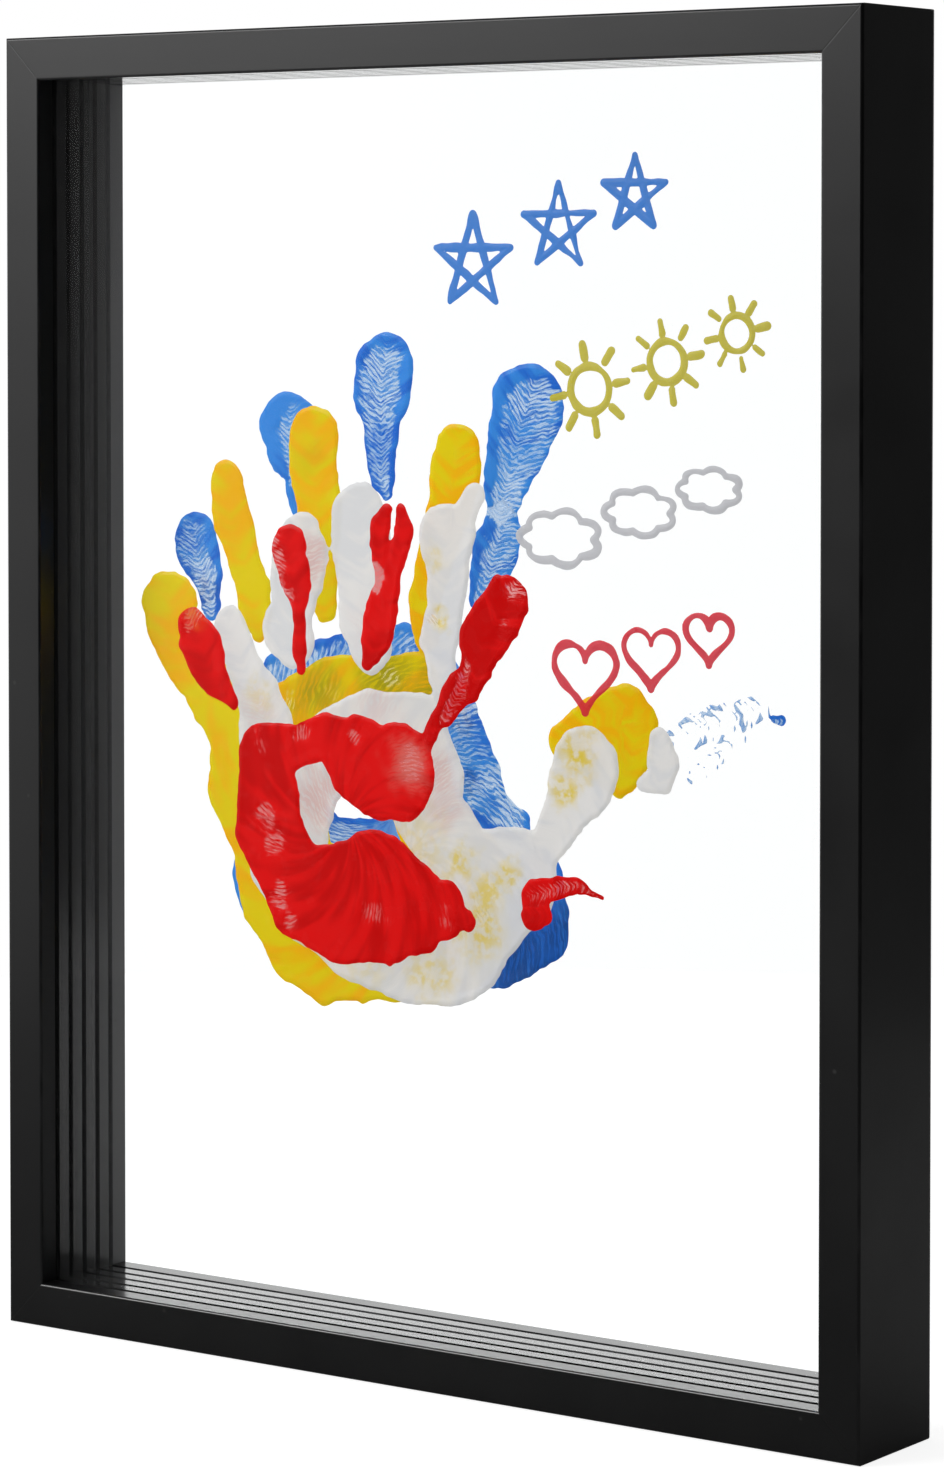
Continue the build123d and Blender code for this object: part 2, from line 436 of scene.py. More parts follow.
def make_lacquer(name, long_axis, inner_coat, inner_black):
    """Satin black lacquer over grain along one axis, with its own coat and black in the opening."""
    material, tree, surface = new_material(name)
    coordinates = add_node(tree, "ShaderNodeTexCoord").outputs
    place = coordinates["Object"]
    scale = [grain_scale] * 3
    scale[long_axis] = grain_scale / grain_stretch
    grain = streaks(tree, place, scale, detail=3.0)
    peel = noise(tree, place, peel_scale, detail=1.0)
    mottle = use_group(tree, "mottle", Place=place, Scale=38.0, Drift=0.5)["Factor"]
    rub = use_group(tree, "edge_rub", Place=place, Reach=1.1 * mm)["Mask"]
    mitre = use_group(tree, "mitre_line", Place=place, Width=0.28 * mm)["Mask"]
    dust = use_group(tree, "dust", Place=place, Scale=190.0, Amount=0.07)["Mask"]
    inside = towards_opening(tree, coordinates)
    colour = blend_colours(tree, inside, black, inner_black)
    colour = blend_colours(tree, maths(tree, "MULTIPLY", rub, rub_share), colour, rubbed_black)
    colour = blend_colours(tree, maths(tree, "MULTIPLY", dust, dust_share), colour, dusty_black)
    colour = blend_colours(tree, maths(tree, "MULTIPLY", mitre, mitre_share), colour, mitre_black)
    roughness = maths(tree, "MULTIPLY", mottle, lacquer_roughness)
    roughness = maths(tree, "MULTIPLY_ADD", dust, dust_roughness, roughness)
    height = maths(tree, "MULTIPLY_ADD", grain, grain_height, maths(tree, "MULTIPLY", peel, peel_height))
    height = maths(tree, "MULTIPLY_ADD", mitre, -mitre_depth, height)
    coat = outer_coat
    if inner_coat != outer_coat:
        coat = maths(tree, "MULTIPLY_ADD", inside, inner_coat - outer_coat, outer_coat)
    shader = principled(
        tree, Base_Color=colour, Roughness=roughness, Specular_IOR_Level=0.35,
        Coat_Weight=coat, Coat_Roughness=0.16,
        Normal=bumpy(tree, height, strength=0.22, distance=0.06 * mm),
    )
    tree.links.new(shader, surface)
    return material


level_lacquer = make_lacquer("black_lacquer_level", 0, inner_coat=1.0, inner_black=black)
upright_lacquer = make_lacquer("black_lacquer_upright", 2, inner_coat=outer_coat, inner_black=black)
strip_lacquer = make_lacquer("black_lacquer_strip", 2, inner_coat=1.0, inner_black=opening_grey)
give_finish(level_lacquer, "top_rail", "bottom_rail", "top_back_strip", "bottom_back_strip")
give_finish(upright_lacquer, "left_rail", "right_rail")
give_finish(strip_lacquer, "left_back_strip", "right_back_strip")
lacquered = [name for name in nodes if name.endswith(("_rail", "_strip"))]
print("lacquered rails and strips:", len(lacquered))

# %% [markdown]
# ## Spacers
#
# Between the sheets lie narrow black plastic strips, cut to length. They are glossier than the rails,
# so the strips along the bottom and the top mirror the white backdrop at a low angle, while the sheets
# between them stay dark lines. Their colour is painted greyer towards the back of the frame. This is a
# painted reflection that stands for the veil each clear sheet in front of them adds. The extrusion die
# leaves fine lines along each strip. As bump they would be too fine to render cleanly, so they change
# the gloss instead.

# %% Glossy black plastic
# The far colour is a painted reflection: the veil of the clear sheets in front of the spacers.
near_spacer = (0.016, 0.016, 0.0162, 1)
far_spacer_painted_veil = (0.068, 0.068, 0.069, 1)
die_scale = (0.4, 2600.0, 0.4)
die_roughness = 0.06
plastic_roughness = 0.13
spacer_dust_share = 0.4


def make_spacer_plastic():
    """Extruded black plastic with faint die lines, a little dust and a painted reflection that greys it
    towards the back.
    """
    material, tree, surface = new_material("black_spacer_plastic")
    place = add_node(tree, "ShaderNodeTexCoord").outputs["Object"]
    die_lines = streaks(tree, place, die_scale)
    mottle = use_group(tree, "mottle", Place=place, Scale=55.0, Drift=0.10)["Factor"]
    dust = use_group(tree, "dust", Place=place, Scale=260.0, Amount=0.10)["Mask"]
    # Painted reflection: the colour greys towards the back for the veil of the sheets in front.
    depth = ramp(tree, split_axes(tree, place)["Y"], cad_low.y, cad_high.y)
    colour = blend_colours(tree, depth, near_spacer, far_spacer_painted_veil)
    colour = blend_colours(tree, maths(tree, "MULTIPLY", dust, spacer_dust_share), colour, dusty_black)
    drawn = maths(tree, "MULTIPLY_ADD", die_lines, die_roughness, plastic_roughness)
    shader = principled(
        tree, Base_Color=colour, Roughness=maths(tree, "MULTIPLY", mottle, drawn),
        Specular_IOR_Level=0.7, Coat_Weight=1.0, Coat_Roughness=0.12,
    )
    tree.links.new(shader, surface)
    return material


spacer_plastic = make_spacer_plastic()
spacers = sorted(name for name in nodes if name.endswith("_spacer"))
give_finish(spacer_plastic, *spacers)
print("spacers:", len(spacers))

# %% [markdown]
# ## Clear sheets
#
# The sheets are 2 mm clear plastic. A glass shader bends light, and then the lamp can't reach the paint
# behind it without very long renders. Thin flat sheets hardly bend what is seen through them, so here
# the surface is see-through and a weak mirror is added to it. The cut edges are frosted by the saw.

# %% Clear plastic with sawn edges
clear_tint = (0.999, 1.0, 1.0, 1)
frosted = (0.32, 0.36, 0.36, 1)
sheet_ior = 1.49
smear_scale = (9.0, 9.0, 22.0)
saw_scale = (900.0, 60.0, 900.0)


def make_clear_plastic():
    """See-through sheet: mirror gloss and faint smears on its faces, frosted on its cut edges."""
    material, tree, surface = new_material("clear_sheet_plastic")
    coordinates = add_node(tree, "ShaderNodeTexCoord").outputs
    place = coordinates["Object"]
    across_face = split_axes(tree, coordinates["Normal"])["Y"]
    edge = maths(tree, "LESS_THAN", maths(tree, "ABSOLUTE", across_face), 0.5)
    smear = ramp(tree, streaks(tree, place, smear_scale, detail=4.0), 0.5, 0.75, low=0.02, high=0.10)
    mirror = principled(
        tree, Base_Color=(0, 0, 0, 1), Roughness=smear, IOR=sheet_ior, Specular_IOR_Level=0.03,
    )
    clear = add_node(tree, "ShaderNodeBsdfTransparent", Color=clear_tint).outputs[0]
    face = join(tree, "ShaderNodeAddShader", None, clear, mirror)[0]
    saw_lines = streaks(tree, place, saw_scale)
    sawn = principled(
        tree, Base_Color=frosted, Roughness=0.35, IOR=sheet_ior,
        Alpha=ramp(tree, saw_lines, 0.3, 0.7, low=0.45, high=0.75),
        Normal=bumpy(tree, saw_lines, strength=0.3, distance=0.05 * mm),
    )
    tree.links.new(join(tree, "ShaderNodeMixShader", None, edge, face, sawn)[0], surface)
    return material


clear_plastic = make_clear_plastic()
sheets = sorted(name for name in nodes if name.endswith("_sheet"))
give_finish(clear_plastic, *sheets)
print("clear sheets:", sheets)

# %% [markdown]
# ## Steel
#
# Small V-shaped nails hold each mitre from behind, and six countersunk screws hold the back frame. The
# nails are bare steel and the screws are blackened. Both only show from behind or with the frame taken
# apart, where a cross recess and a thread tell a screw from a pin.

# %% Two kinds of steel
drawn_scale = (2500.0, 90.0, 2500.0)
dull_share = 0.6


def make_steel(name, colour, roughness):
    """Drawn steel with fine lines and dull patches."""
    material, tree, surface = new_material(name)
    place = add_node(tree, "ShaderNodeTexCoord").outputs["Object"]
    drawn = streaks(tree, place, drawn_scale, detail=3.0)
    mottle = use_group(tree, "mottle", Place=place, Scale=420.0, Drift=0.9)["Factor"]
    dull = tuple(dull_share * channel for channel in colour[:3]) + (1,)
    shader = principled(
        tree, Base_Color=blend_colours(tree, ramp(tree, drawn, start=0.35, end=0.7), dull, colour),
        Roughness=maths(tree, "MULTIPLY", mottle, roughness), Metallic=1.0,
        Normal=bumpy(tree, drawn, strength=0.15, distance=0.03 * mm),
    )
    tree.links.new(shader, surface)
    return material


bright_steel = make_steel("bright_steel", (0.62, 0.61, 0.59, 1), roughness=0.32)
black_steel = make_steel("black_steel", (0.045, 0.044, 0.046, 1), roughness=0.38)
give_finish(bright_steel, "rail_v_nails", "back_v_nails")
print("nails are bare steel, screws are blackened")

# %% Turned and threaded body of one screw
screw_length = 18.0 * mm
screw_radius = 1.5 * mm
screw_core = 1.08 * mm
head_radius = 2.8 * mm
head_height = 1.3 * mm
head_rim = ((0.0, 0.86), (0.04 * mm, 0.95), (0.14 * mm, 1.0))
neck_end = head_height + 1.2 * mm
core_start = head_height + 1.6 * mm
thread_start = head_height + 2.0 * mm
thread_pitch = 1.25 * mm
thread_steps = 8
crest_share = 0.3
tip_length = 3.0 * mm
tip_flat = 0.3 * mm
screw_sides = 40


def screw_rows():
    """Rings of the screw from its head down: depth, radius, and how much of the thread shows."""
    for depth, share in head_rim:
        yield depth, share * head_radius, 0.0
    yield head_height, screw_radius, 0.0
    yield neck_end, screw_radius, 0.0
    yield core_start, screw_core, 0.0
    for depth in np.arange(thread_start, screw_length - tip_flat, thread_pitch / thread_steps):
        taper = min(1.0, (screw_length - depth) / tip_length)
        yield float(depth), screw_core * taper, taper * min(1.0, (depth - thread_start) / thread_pitch)


def screw_body():
    """The screw's closed mesh: its head at the origin, its point towards -Y."""
    points = [(0, 0, 0)]
    faces = []
    for depth, radius, thread in screw_rows():
        for side in range(screw_sides):
            share = side / screw_sides
            phase = (depth / thread_pitch + share) % 1.0
            crest = max(0.0, 1 - abs(phase - 0.5) / crest_share)
            reach = radius + crest * thread * (screw_radius - screw_core)
            angle = 2 * math.pi * share
            points.append((reach * math.cos(angle), -depth, reach * math.sin(angle)))
    points.append((0, -screw_length, 0))
    last = len(points) - 1
    rings = (len(points) - 2) // screw_sides
    for side in range(screw_sides):
        after = (side + 1) % screw_sides
        faces.append((0, 1 + after, 1 + side))
        for row in range(rings - 1):
            upper = 1 + row * screw_sides
            lower = upper + screw_sides
            faces.append((upper + side, upper + after, lower + after, lower + side))
        bottom = 1 + (rings - 1) * screw_sides
        faces.append((bottom + side, bottom + after, last))
    mesh = bpy.data.meshes.new("screw_body")
    mesh.from_pydata(points, [], faces)
    return mesh


blank = add_object("screw_blank", screw_body())
print("faces of the plain screw:", len(blank.data.polygons))

# %% Cross recess in the screw's head
recess_top = (0.4 * mm, 1.65 * mm, 0.40 * mm)
recess_floor = (-1.25 * mm, 0.70 * mm, 0.26 * mm)


def recess_cutter(turn):
    """One arm of the cross: a bar between two levels, each a height, half a length and half a width."""
    cosine = math.cos(turn)
    sine = math.sin(turn)
    points = []
    for y, half_length, half_width in (recess_top, recess_floor):
        for u, v in ((-1, -1), (1, -1), (1, 1), (-1, 1)):
            x = u * half_length
            z = v * half_width
            points.append((x * cosine - z * sine, y, x * sine + z * cosine))
    faces = [(0, 1, 2, 3), (7, 6, 5, 4), (0, 4, 5, 1), (1, 5, 6, 2), (2, 6, 7, 3), (3, 7, 4, 0)]
    mesh = bpy.data.meshes.new("recess")
    mesh.from_pydata(points, [], faces)
    return add_object("recess", mesh)


cutters = [recess_cutter(turn) for turn in (0.0, math.pi / 2)]
for cutter in cutters:
    cut = blank.modifiers.new("recess", "BOOLEAN")
    cut.object = cutter
    cut.solver = "EXACT"
screw_mesh = bpy.data.meshes.new_from_object(blank.evaluated_get(bpy.context.evaluated_depsgraph_get()))
for spare in [blank, *cutters]:
    bpy.data.objects.remove(spare)
print("faces of one screw:", len(screw_mesh.polygons))

# %% Six screws in the back frame
screw_inset = 5.0 * mm
screw_spacing = 230.0 * mm
head_sink = 0.2 * mm
screw_crease = math.radians(35)


def shade_smooth(mesh, crease):
    """Smooth shading with sharp edges where two faces turn by more than the crease."""
    mesh.polygons.foreach_set("use_smooth", [True] * len(mesh.polygons))
    mesh.set_sharp_from_angle(angle=crease)


side_x = frame_size.x / 2 - screw_inset
end_z = frame_size.z / 2 - screw_inset
screw_places = [(x, z) for x in (-side_x, side_x) for z in (-screw_spacing / 2, screw_spacing / 2)]
screw_places += [(0.0, -end_z), (0.0, end_z)]
chance = np.random.default_rng(7)
gathered = bmesh.new()
for x, z in screw_places:
    turned = screw_mesh.copy()
    turned.transform(Matrix.Rotation(chance.uniform(0, math.pi), 4, "Y"))
    turned.transform(Matrix.Translation((x, cad_high.y - head_sink, middle.z + z)))
    gathered.from_mesh(turned)
    bpy.data.meshes.remove(turned)
screws_mesh = bpy.data.meshes.new("cross_head_screws")
gathered.to_mesh(screws_mesh)
gathered.free()
shade_smooth(screws_mesh, screw_crease)
screws_mesh.materials.append(black_steel)
screws = add_object("cross_head_screws", screws_mesh)
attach(screws, "back_frame")
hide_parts("back_screws")
print("screws:", len(screw_places))

# %% [markdown]
# ## Paint as a field
#
# A handprint has no drawn outline: the hand presses wet paint out to a rim, and as the skin lifts it
# pulls the middle thin and leaves a comb of fine ridges. So the paint is made as a field. Round pads of
# chosen size are joined into strokes, the distance to their edge gives the outline, and the thickness is
# worked out from that distance, from noise and from ridges that fan out from the middle of each stroke.

# %% Smooth steps and noise for the paint field
def smooth_step(start, end, value):
    """0 before start, 1 after end, and smooth between them."""
    share = np.clip((value - start) / (end - start), 0, 1)
    return share * share * (3 - 2 * share)


def lattice_noise(u, v, seed):
    """Smooth noise from -1 to 1, with one chance value at each whole number of u and v."""
    size = 256
    table = np.random.default_rng(seed).uniform(-1, 1, (size, size))
    column = np.floor(u).astype(int)
    row = np.floor(v).astype(int)
    share_u = smooth_step(0, 1, u - column)
    share_v = smooth_step(0, 1, v - row)
    corner = [
        [table[(row + down) % size, (column + right) % size] for right in (0, 1)]
        for down in (0, 1)
    ]
    rows = [near + (far - near) * share_u for near, far in corner]
    return rows[0] + (rows[1] - rows[0]) * share_v


def layered_noise(across, up, length, seed, layers=3):
    """Noise of a wave length in millimetres, with finer and weaker layers on top."""
    u = across / length
    v = up / length
    return sum(lattice_noise(u * 2**n, v * 2**n, seed + n) / 2**n for n in range(layers))


print("noise sample", round(float(lattice_noise(np.array(0.4), np.array(0.7), 1)), 4))

# %% Distance to a stroke of joined pads
def take_nearer(fields, kept):
    """Of two lists of fields that each start with a distance, the nearer one's values at each point."""
    if kept is None:
        return fields
    nearer = fields[0] < kept[0]
    return [np.where(nearer, new, old) for new, old in zip(fields, kept)]


def stroke_field(across, up, pads):
    """Four fields: distance to the stroke's edge (minus inside), place along and beside it, radius."""
    kept = None
    travelled = 0.0
    for (x0, z0, r0), (x1, z1, r1) in zip(pads, pads[1:]):
        length = math.hypot(x1 - x0, z1 - z0)
        way_x = (x1 - x0) / length
        way_z = (z1 - z0) / length
        free_step = ((across - x0) * way_x + (up - z0) * way_z) / length
        step = np.clip(free_step, 0, 1)
        off_x = across - x0 - step * (x1 - x0)
        off_z = up - z0 - step * (z1 - z0)
        radius = r0 + step * (r1 - r0)
        along = travelled + free_step * length
        beside = off_x * way_z - off_z * way_x
        kept = take_nearer([np.hypot(off_x, off_z) - radius, along, beside, radius], kept)
        travelled += length
    return kept


def smooth_join(first, second, width):
    """The smaller of two distances, with the crease between them filled over a width."""
    overlap = np.maximum(width - np.abs(first - second), 0) / width
    return np.minimum(first, second) - overlap * overlap * width / 4


print("stroke field ready")

# %% [markdown]
# ## From field to mesh
#
# The field is sampled on a square grid. Cells inside the outline become quads, and cells on the outline
# are cut where the distance passes zero, so the edge is smooth at any grid size. The same outline closes
# the flat back of the film, a hair in front of the sheet. The film's thickness and the fan of its ridges
# are kept as attributes on each point, so the material can make thin paint paler and draw fine ridges.

# %% Closed film of paint from a field
film_gap = 0.02 * mm
film_crease = math.radians(70)


def film_mesh(name, across, up, edge, relief, marks, front, height):
    """A closed mesh of the cells where edge is below 0, raised by relief times height."""
    inside = edge < 0
    inner_count = int(inside.sum())
    number = np.full(edge.shape, -1)
    number[inside] = np.arange(inner_count)
    around_cell = [number[:-1, :-1], number[:-1, 1:], number[1:, 1:], number[1:, :-1]]
    corners = np.stack(around_cell, axis=-1).reshape(-1, 4)
    full = (corners >= 0).all(axis=1)
    cut = (corners >= 0).any(axis=1) & ~full
    faces = corners[full].tolist()
    crossings = {}
    for cell in np.nonzero(cut)[0]:
        row, column = divmod(int(cell), edge.shape[1] - 1)
        walk = [(row, column), (row, column + 1), (row + 1, column + 1), (row + 1, column)]
        face = []
        for here, there in zip(walk, walk[1:] + walk[:1]):
            if inside[here]:
                face.append(int(number[here]))
            if inside[here] != inside[there]:
                key = (min(here, there), max(here, there))
                face.append(crossings.setdefault(key, inner_count + len(crossings)))
        faces.append(face)
    ends = np.array(list(crossings))
    first = tuple(ends[:, 0].T)
    second = tuple(ends[:, 1].T)
    share = edge[first] / (edge[first] - edge[second])

    def with_rim(values):
        """Values at the grid points inside, then at the points where the outline cuts the grid."""
        return np.concatenate([values[inside], values[first] + share * (values[second] - values[first])])

    thickness = with_rim(relief)
    thickness[inner_count:] = 0
    back_y = front - film_gap
    front_points = np.stack([with_rim(across), back_y - thickness * height, with_rim(up)], axis=1)
    back_points = front_points[:inner_count].copy()
    back_points[:, 1] = back_y
    shift = len(front_points)
    back_faces = [
        [point if point >= inner_count else point + shift for point in reversed(face)]
        for face in faces
    ]
    mesh = bpy.data.meshes.new(name)
    mesh.from_pydata(np.concatenate([front_points, back_points]).tolist(), [], faces + back_faces)
    shade_smooth(mesh, film_crease)
    for mark, values in marks.items():
        values = with_rim(values)
        values = np.concatenate([values, values[:inner_count]]).astype(np.float32)
        mesh.attributes.new(mark, "FLOAT", "POINT").data.foreach_set("value", values)
    return add_object(name, mesh)


print("film mesh ready")

# %% [markdown]
# ## Paint materials
#
# All four paints are the same kind of thick poster paint, so one shared group turns the film's thickness
# into colour, see-through share, gloss and fine ridges. Thick rims are deep and opaque, and the thin
# middle is paler, with ridges of paint where the skin let go.

# %% Paint film group: ridges and what is left of the film between them
ridge_pitch = 1.5
ridge_bend = 3.5
line_share = 0.66
wisp_share = 0.34
bare_loss = 0.95
ridge_rest = 0.40
streak_depth = 0.06

group, given, result = new_group(
    "paint_film",
    {
        "Place": "Vector", "Fan": "Vector", "Film": "Float", "Bare": "Float",
        "Stain": "Float", "Feather": "Float", "Thick": "Color", "Thin": "Color", "Warm": "Color",
        "Mark": "Color", "Feather Colour": "Color", "Cover": "Float", "Thin Cover": "Float",
    },
    {"Color": "Color", "Alpha": "Float", "Roughness": "Float", "Height": "Float"},
)
fan = given["Fan"]
bend = streaks(group, fan, (0.11, 0.17, 1.0))
along_fan = maths(group, "DIVIDE", split_axes(group, fan)["X"], ridge_pitch)
phase = maths(group, "MULTIPLY_ADD", bend, ridge_bend, along_fan)
off_ridge = maths(group, "ABSOLUTE", maths(group, "SUBTRACT", maths(group, "FRACT", phase), 0.5))
ridge_width = ramp(group, streaks(group, fan, (0.5, 0.2, 1.0)), 0.35, 0.65, low=0.10, high=0.42)
lines = ramp(group, maths(group, "SUBTRACT", off_ridge, ridge_width), start=0.10, end=-0.10)
wisps = ramp(group, streaks(group, fan, (2.2, 0.5, 1.0), detail=3.0), start=0.44, end=0.62)
ridges = maths(group, "MULTIPLY_ADD", lines, line_share, maths(group, "MULTIPLY", wisps, wisp_share))
kept = maths(group, "MULTIPLY_ADD", given["Bare"], -bare_loss, 1.0)
bared = maths(group, "MULTIPLY", given["Bare"], given["Film"])
on_ridges = maths(group, "MULTIPLY", bared, maths(group, "MULTIPLY", ridges, ridge_rest))
film = maths(group, "MULTIPLY_ADD", given["Film"], kept, on_ridges)
streak = maths(group, "MULTIPLY_ADD", maths(group, "SUBTRACT", wisps, 0.5), streak_depth, film)
group.links.new(streak, result["Height"])
print("group:", group.name)

# %% Paint film group: colour, cover and gloss
slow_drift = noise(group, given["Place"], scale=34.0, detail=3.0)
fan_drift = streaks(group, fan, (0.22, 0.05, 1.0), detail=3.0)
drift = ramp(group, maths(group, "ADD", slow_drift, fan_drift), start=0.86, end=1.16)
thick = blend_colours(group, drift, given["Thick"], given["Warm"])
body = blend_colours(group, ramp(group, streak, start=0.06, end=0.52), given["Thin"], thick)
stained = maths(group, "MULTIPLY", given["Stain"], ramp(group, ridges, 0.0, 0.5, low=0.45, high=1.0))
marked = blend_colours(group, stained, body, given["Mark"])
grains = noise(group, given["Place"], scale=420.0, detail=3.0)
grains = ramp(group, grains, 0.38, 0.62, low=0.30, high=1.0)
feathered = maths(group, "MULTIPLY", given["Feather"], grains)
group.links.new(blend_colours(group, feathered, marked, given["Feather Colour"]), result["Color"])
cover = ramp(group, film, 0.0, 0.42, low=given["Thin Cover"], high=given["Cover"])
group.links.new(cover, result["Alpha"])
wet = noise(group, given["Place"], scale=160.0, detail=3.0)
group.links.new(ramp(group, wet, 0.3, 0.7, low=0.16, high=0.30), result["Roughness"])
print("outputs:", [socket.name for socket in result if socket.name])

# %% One function for paints and inks
let_through = 0.92


def attribute_value(tree, name):
    """A value stored on the points of the mesh."""
    return add_node(tree, "ShaderNodeAttribute", {"attribute_name": name}).outputs["Fac"]


def make_paint(name, **film_values):
    """Poster paint or marker ink in one colour, paler and clearer where its film is thin."""
    material, tree, surface = new_material(name)
    slant = attribute_value(tree, "slant")
    beside = attribute_value(tree, "beside")
    marks = {mark: attribute_value(tree, mark.lower()) for mark in ("Film", "Bare", "Stain", "Feather")}
    paint = use_group(
        tree, "paint_film",
        Place=add_node(tree, "ShaderNodeTexCoord").outputs["Object"],
        Fan=add_node(tree, "ShaderNodeCombineXYZ", X=slant, Y=beside).outputs[0],
        **marks, **film_values,
    )
    path = add_node(tree, "ShaderNodeLightPath").outputs
    lighting = maths(tree, "MAXIMUM", path["Is Shadow Ray"], path["Is Diffuse Ray"])
    shade = maths(tree, "MULTIPLY_ADD", lighting, -let_through, 1.0)
    facing = maths(tree, "SUBTRACT", 1.0, add_node(tree, "ShaderNodeNewGeometry").outputs["Backfacing"])
    shader = principled(
        tree, Base_Color=paint["Color"], Roughness=paint["Roughness"], Specular_IOR_Level=0.08,
        Alpha=maths(tree, "MULTIPLY", maths(tree, "MULTIPLY", paint["Alpha"], shade), facing),
        Normal=bumpy(tree, paint["Height"], strength=0.5, distance=0.2 * mm),
    )
    tree.links.new(shader, surface)
    return material


print("light that passes through the paint:", let_through)

# %% Four poster paints
paints = {
    "red": make_paint(
        "red_poster_paint", Cover=1.0, Thin_Cover=0.74,
        Thick=(0.62, 0.002, 0.002, 1), Thin=(0.82, 0.12, 0.12, 1), Warm=(0.82, 0.006, 0.006, 1),
        Mark=(0.76, 0.16, 0.13, 1), Feather_Colour=(0.86, 0.16, 0.02, 1),
    ),
    "white": make_paint(
        "white_poster_paint", Cover=0.96, Thin_Cover=0.16,
        Thick=(0.75, 0.75, 0.76, 1), Thin=(0.82, 0.82, 0.83, 1), Warm=(0.84, 0.82, 0.80, 1),
        Mark=(0.74, 0.48, 0.47, 1), Feather_Colour=(0.80, 0.61, 0.07, 1),
    ),
    "yellow": make_paint(
        "yellow_poster_paint", Cover=1.0, Thin_Cover=0.45,
        Thick=(0.84, 0.65, 0.004, 1), Thin=(0.86, 0.74, 0.04, 1), Warm=(0.95, 0.48, 0.002, 1),
        Mark=(0.38, 0.33, 0.008, 1), Feather_Colour=(0.98, 0.42, 0.002, 1),
    ),
    "blue": make_paint(
        "blue_poster_paint", Cover=1.0, Thin_Cover=0.60,
        Thick=(0.020, 0.15, 0.67, 1), Thin=(0.15, 0.40, 0.76, 1), Warm=(0.045, 0.27, 0.80, 1),
        Mark=(0.016, 0.085, 0.34, 1), Feather_Colour=(0.010, 0.07, 0.30, 1),
    ),
}
print("paints:", sorted(paints))

# %% [markdown]
# ## Handprints
#
# Each hand is a handful of strokes: fingers, a thumb and a palm, and smears beside them. The pads give the
# place across and up from the middle of the sheet and the radius, in millimetres. The first number says
# how dry the middle of the stroke is: above 1.0 the stroke is a thin smear without a rim, and above 1.2 it
# breaks into streaks. The second number says to which side its dry part leans. Blue was pressed hard and
# is bare in the middle, and yellow is thick all over.

# %% Strokes of the red hand
hands = {}
hands["red"] = {
    "little": (0.30, 0.4, ((-88, 19, 5.5), (-85, 14, 7.8), (-83, 9, 7.5), (-79, 3, 5.5), (-73, -3, 2.5))),
    "ring": (0.15, 0.0, ((-52, 44, 6.3), (-50, 36, 6), (-49, 33, 5))),
    "ring_tail": (0.1, 0.0, ((-49, 33, 4.8), (-48, 25, 2), (-48, 14, 2.5), (-47, 8, 1.6))),
    "middle_left": (0.15, 0.0, ((-16.2, 56, 1.5), (-18.6, 50, 4), (-18.7, 46, 3.8), (-18.4, 41, 2.4))),
    "middle_right": (0.15, 0.0, ((-11, 56, 1.4), (-10.3, 50, 3.4), (-11, 46, 3.6), (-13.2, 39, 2.6))),
    "middle_smear": (1.05, 0.0, ((-19.4, 40, 1.6), (-18.8, 34, 2.2), (-19.6, 29, 2.2))),
    "middle": (0.25, 0.5, (
        (-14, 39, 2.8), (-14.6, 34, 3.6), (-17.2, 28, 5.8), (-19, 23, 6), (-20, 18, 5.6), (-23, 11, 2.2),
    )),
    "index": (0.25, 0.3, ((26, 31, 7.5), (23, 26, 8.7), (18, 20, 8.5), (17, 12, 5), (14, 5, 3))),
    "index_smear": (0.85, 0.0, ((13, 12, 2.6), (10, 5, 3.8), (5, -3, 3.4))),
    "index_tail": (0.1, 0.0, ((8, 7, 2), (5, 3, 2.2), (1, -4, 2), (-1, -11, 1.8))),
    "thumb": (0.80, 0.0, ((35, -52, 3.8), (44, -49, 3.4), (50, -48, 2.2), (59, -51, 0.6))),
    "thumb_pad": (0.50, 0.0, ((35, -58, 4), (39, -57.5, 2.8))),
    "palm_top": (0.25, 0.0, (
        (-61, -17, 8.5), (-48, -14, 6.5), (-38, -11, 7), (-26, -17, 12.8), (-18, -21, 13),
        (-13, -20, 14.2),
    )),
    "palm_side": (0.40, 0.0, ((-61, -18, 9), (-60, -28, 11.3), (-59, -40, 12.5), (-52, -51, 12.5))),
    "palm_heel": (0.25, 0.0, (
        (-46, -57, 15), (-33, -60, 17), (-20, -57, 19.5), (-8, -59, 14), (3, -59, 9), (12, -61, 3.2),
    )),
}
print("red strokes:", len(hands["red"]))

